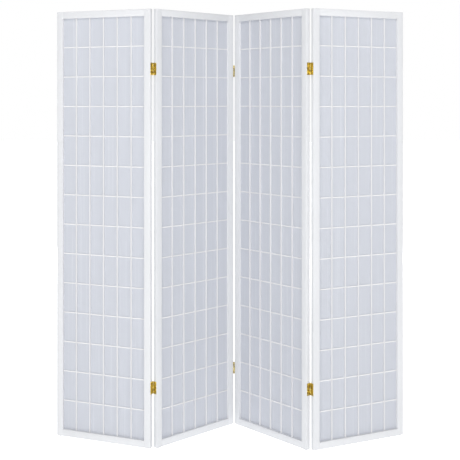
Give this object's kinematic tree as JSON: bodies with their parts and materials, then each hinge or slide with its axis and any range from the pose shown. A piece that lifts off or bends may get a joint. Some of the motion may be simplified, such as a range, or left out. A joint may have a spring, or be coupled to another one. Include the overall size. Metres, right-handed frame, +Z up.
{
  "type": "folding screen",
  "caption": "Free-standing shoji folding screen: white timber frames with a slender square lattice backed by translucent paper, joined edge to edge by brass butt hinges.",
  "frame": {"origin": "on the floor, under the middle of the bounding box of the screen as it stands at rest", "axes": "+Z up, +X to the right along the row of panels as seen from the front, +Y from the front to the back"},
  "size_m": [1.458, 0.3474, 1.784],
  "materials": {
    "painted_frame": "satin white paint on softwood",
    "painted_lattice": "satin white paint on softwood",
    "shoji_paper": "matt translucent white fibre paper",
    "hinge_brass": "bright plated",
    "glide_plastic": "dark matt plastic"
  },
  "bodies": {
    "panel_1": {"panel_1_left_stile": "painted_frame", "panel_1_right_stile": "painted_frame", "panel_1_top_rail": "painted_frame", "panel_1_bottom_rail": "painted_frame", "panel_1_lattice_border": "painted_lattice", "panel_1_lattice_uprights": "painted_lattice", "panel_1_lattice_crossbars": "painted_lattice", "panel_1_paper": "shoji_paper", "panel_1_paper_beading": "painted_lattice", "panel_1_hinge_screws": "hinge_brass", "panel_1_feet": "glide_plastic", "hinge_1_2_left_leaves": "hinge_brass", "hinge_1_2_pins": "hinge_brass"},
    "panel_2": {"panel_2_left_stile": "painted_frame", "panel_2_right_stile": "painted_frame", "panel_2_top_rail": "painted_frame", "panel_2_bottom_rail": "painted_frame", "panel_2_lattice_border": "painted_lattice", "panel_2_lattice_uprights": "painted_lattice", "panel_2_lattice_crossbars": "painted_lattice", "panel_2_paper": "shoji_paper", "panel_2_paper_beading": "painted_lattice", "panel_2_hinge_screws": "hinge_brass", "panel_2_feet": "glide_plastic", "hinge_1_2_right_leaves": "hinge_brass", "hinge_2_3_left_leaves": "hinge_brass", "hinge_2_3_pins": "hinge_brass"},
    "panel_3": {"panel_3_left_stile": "painted_frame", "panel_3_right_stile": "painted_frame", "panel_3_top_rail": "painted_frame", "panel_3_bottom_rail": "painted_frame", "panel_3_lattice_border": "painted_lattice", "panel_3_lattice_uprights": "painted_lattice", "panel_3_lattice_crossbars": "painted_lattice", "panel_3_paper": "shoji_paper", "panel_3_paper_beading": "painted_lattice", "panel_3_hinge_screws": "hinge_brass", "panel_3_feet": "glide_plastic", "hinge_2_3_right_leaves": "hinge_brass", "hinge_3_4_left_leaves": "hinge_brass", "hinge_3_4_pins": "hinge_brass"},
    "panel_4": {"panel_4_left_stile": "painted_frame", "panel_4_right_stile": "painted_frame", "panel_4_top_rail": "painted_frame", "panel_4_bottom_rail": "painted_frame", "panel_4_lattice_border": "painted_lattice", "panel_4_lattice_uprights": "painted_lattice", "panel_4_lattice_crossbars": "painted_lattice", "panel_4_paper": "shoji_paper", "panel_4_paper_beading": "painted_lattice", "panel_4_hinge_screws": "hinge_brass", "panel_4_feet": "glide_plastic", "hinge_3_4_right_leaves": "hinge_brass"}
  },
  "joints": [
    {"name": "fold_1_2", "type": "hinge", "parent": "panel_2", "child": "panel_1", "pos_m": [-0.31364, -0.13408, 0.892], "axis": [0, 0, 1], "range_deg": [-113.6, 66.4]},
    {"name": "fold_2_3", "type": "hinge", "parent": "panel_2", "child": "panel_3", "pos_m": [0.01691, 0.1613, 0.892], "axis": [0, 0, 1], "range_deg": [-86.8, 93.2]},
    {"name": "fold_3_4", "type": "hinge", "parent": "panel_3", "child": "panel_4", "pos_m": [0.32493, -0.1575, 0.892], "axis": [0, 0, 1], "range_deg": [-74.6, 105.4]}
  ]
}
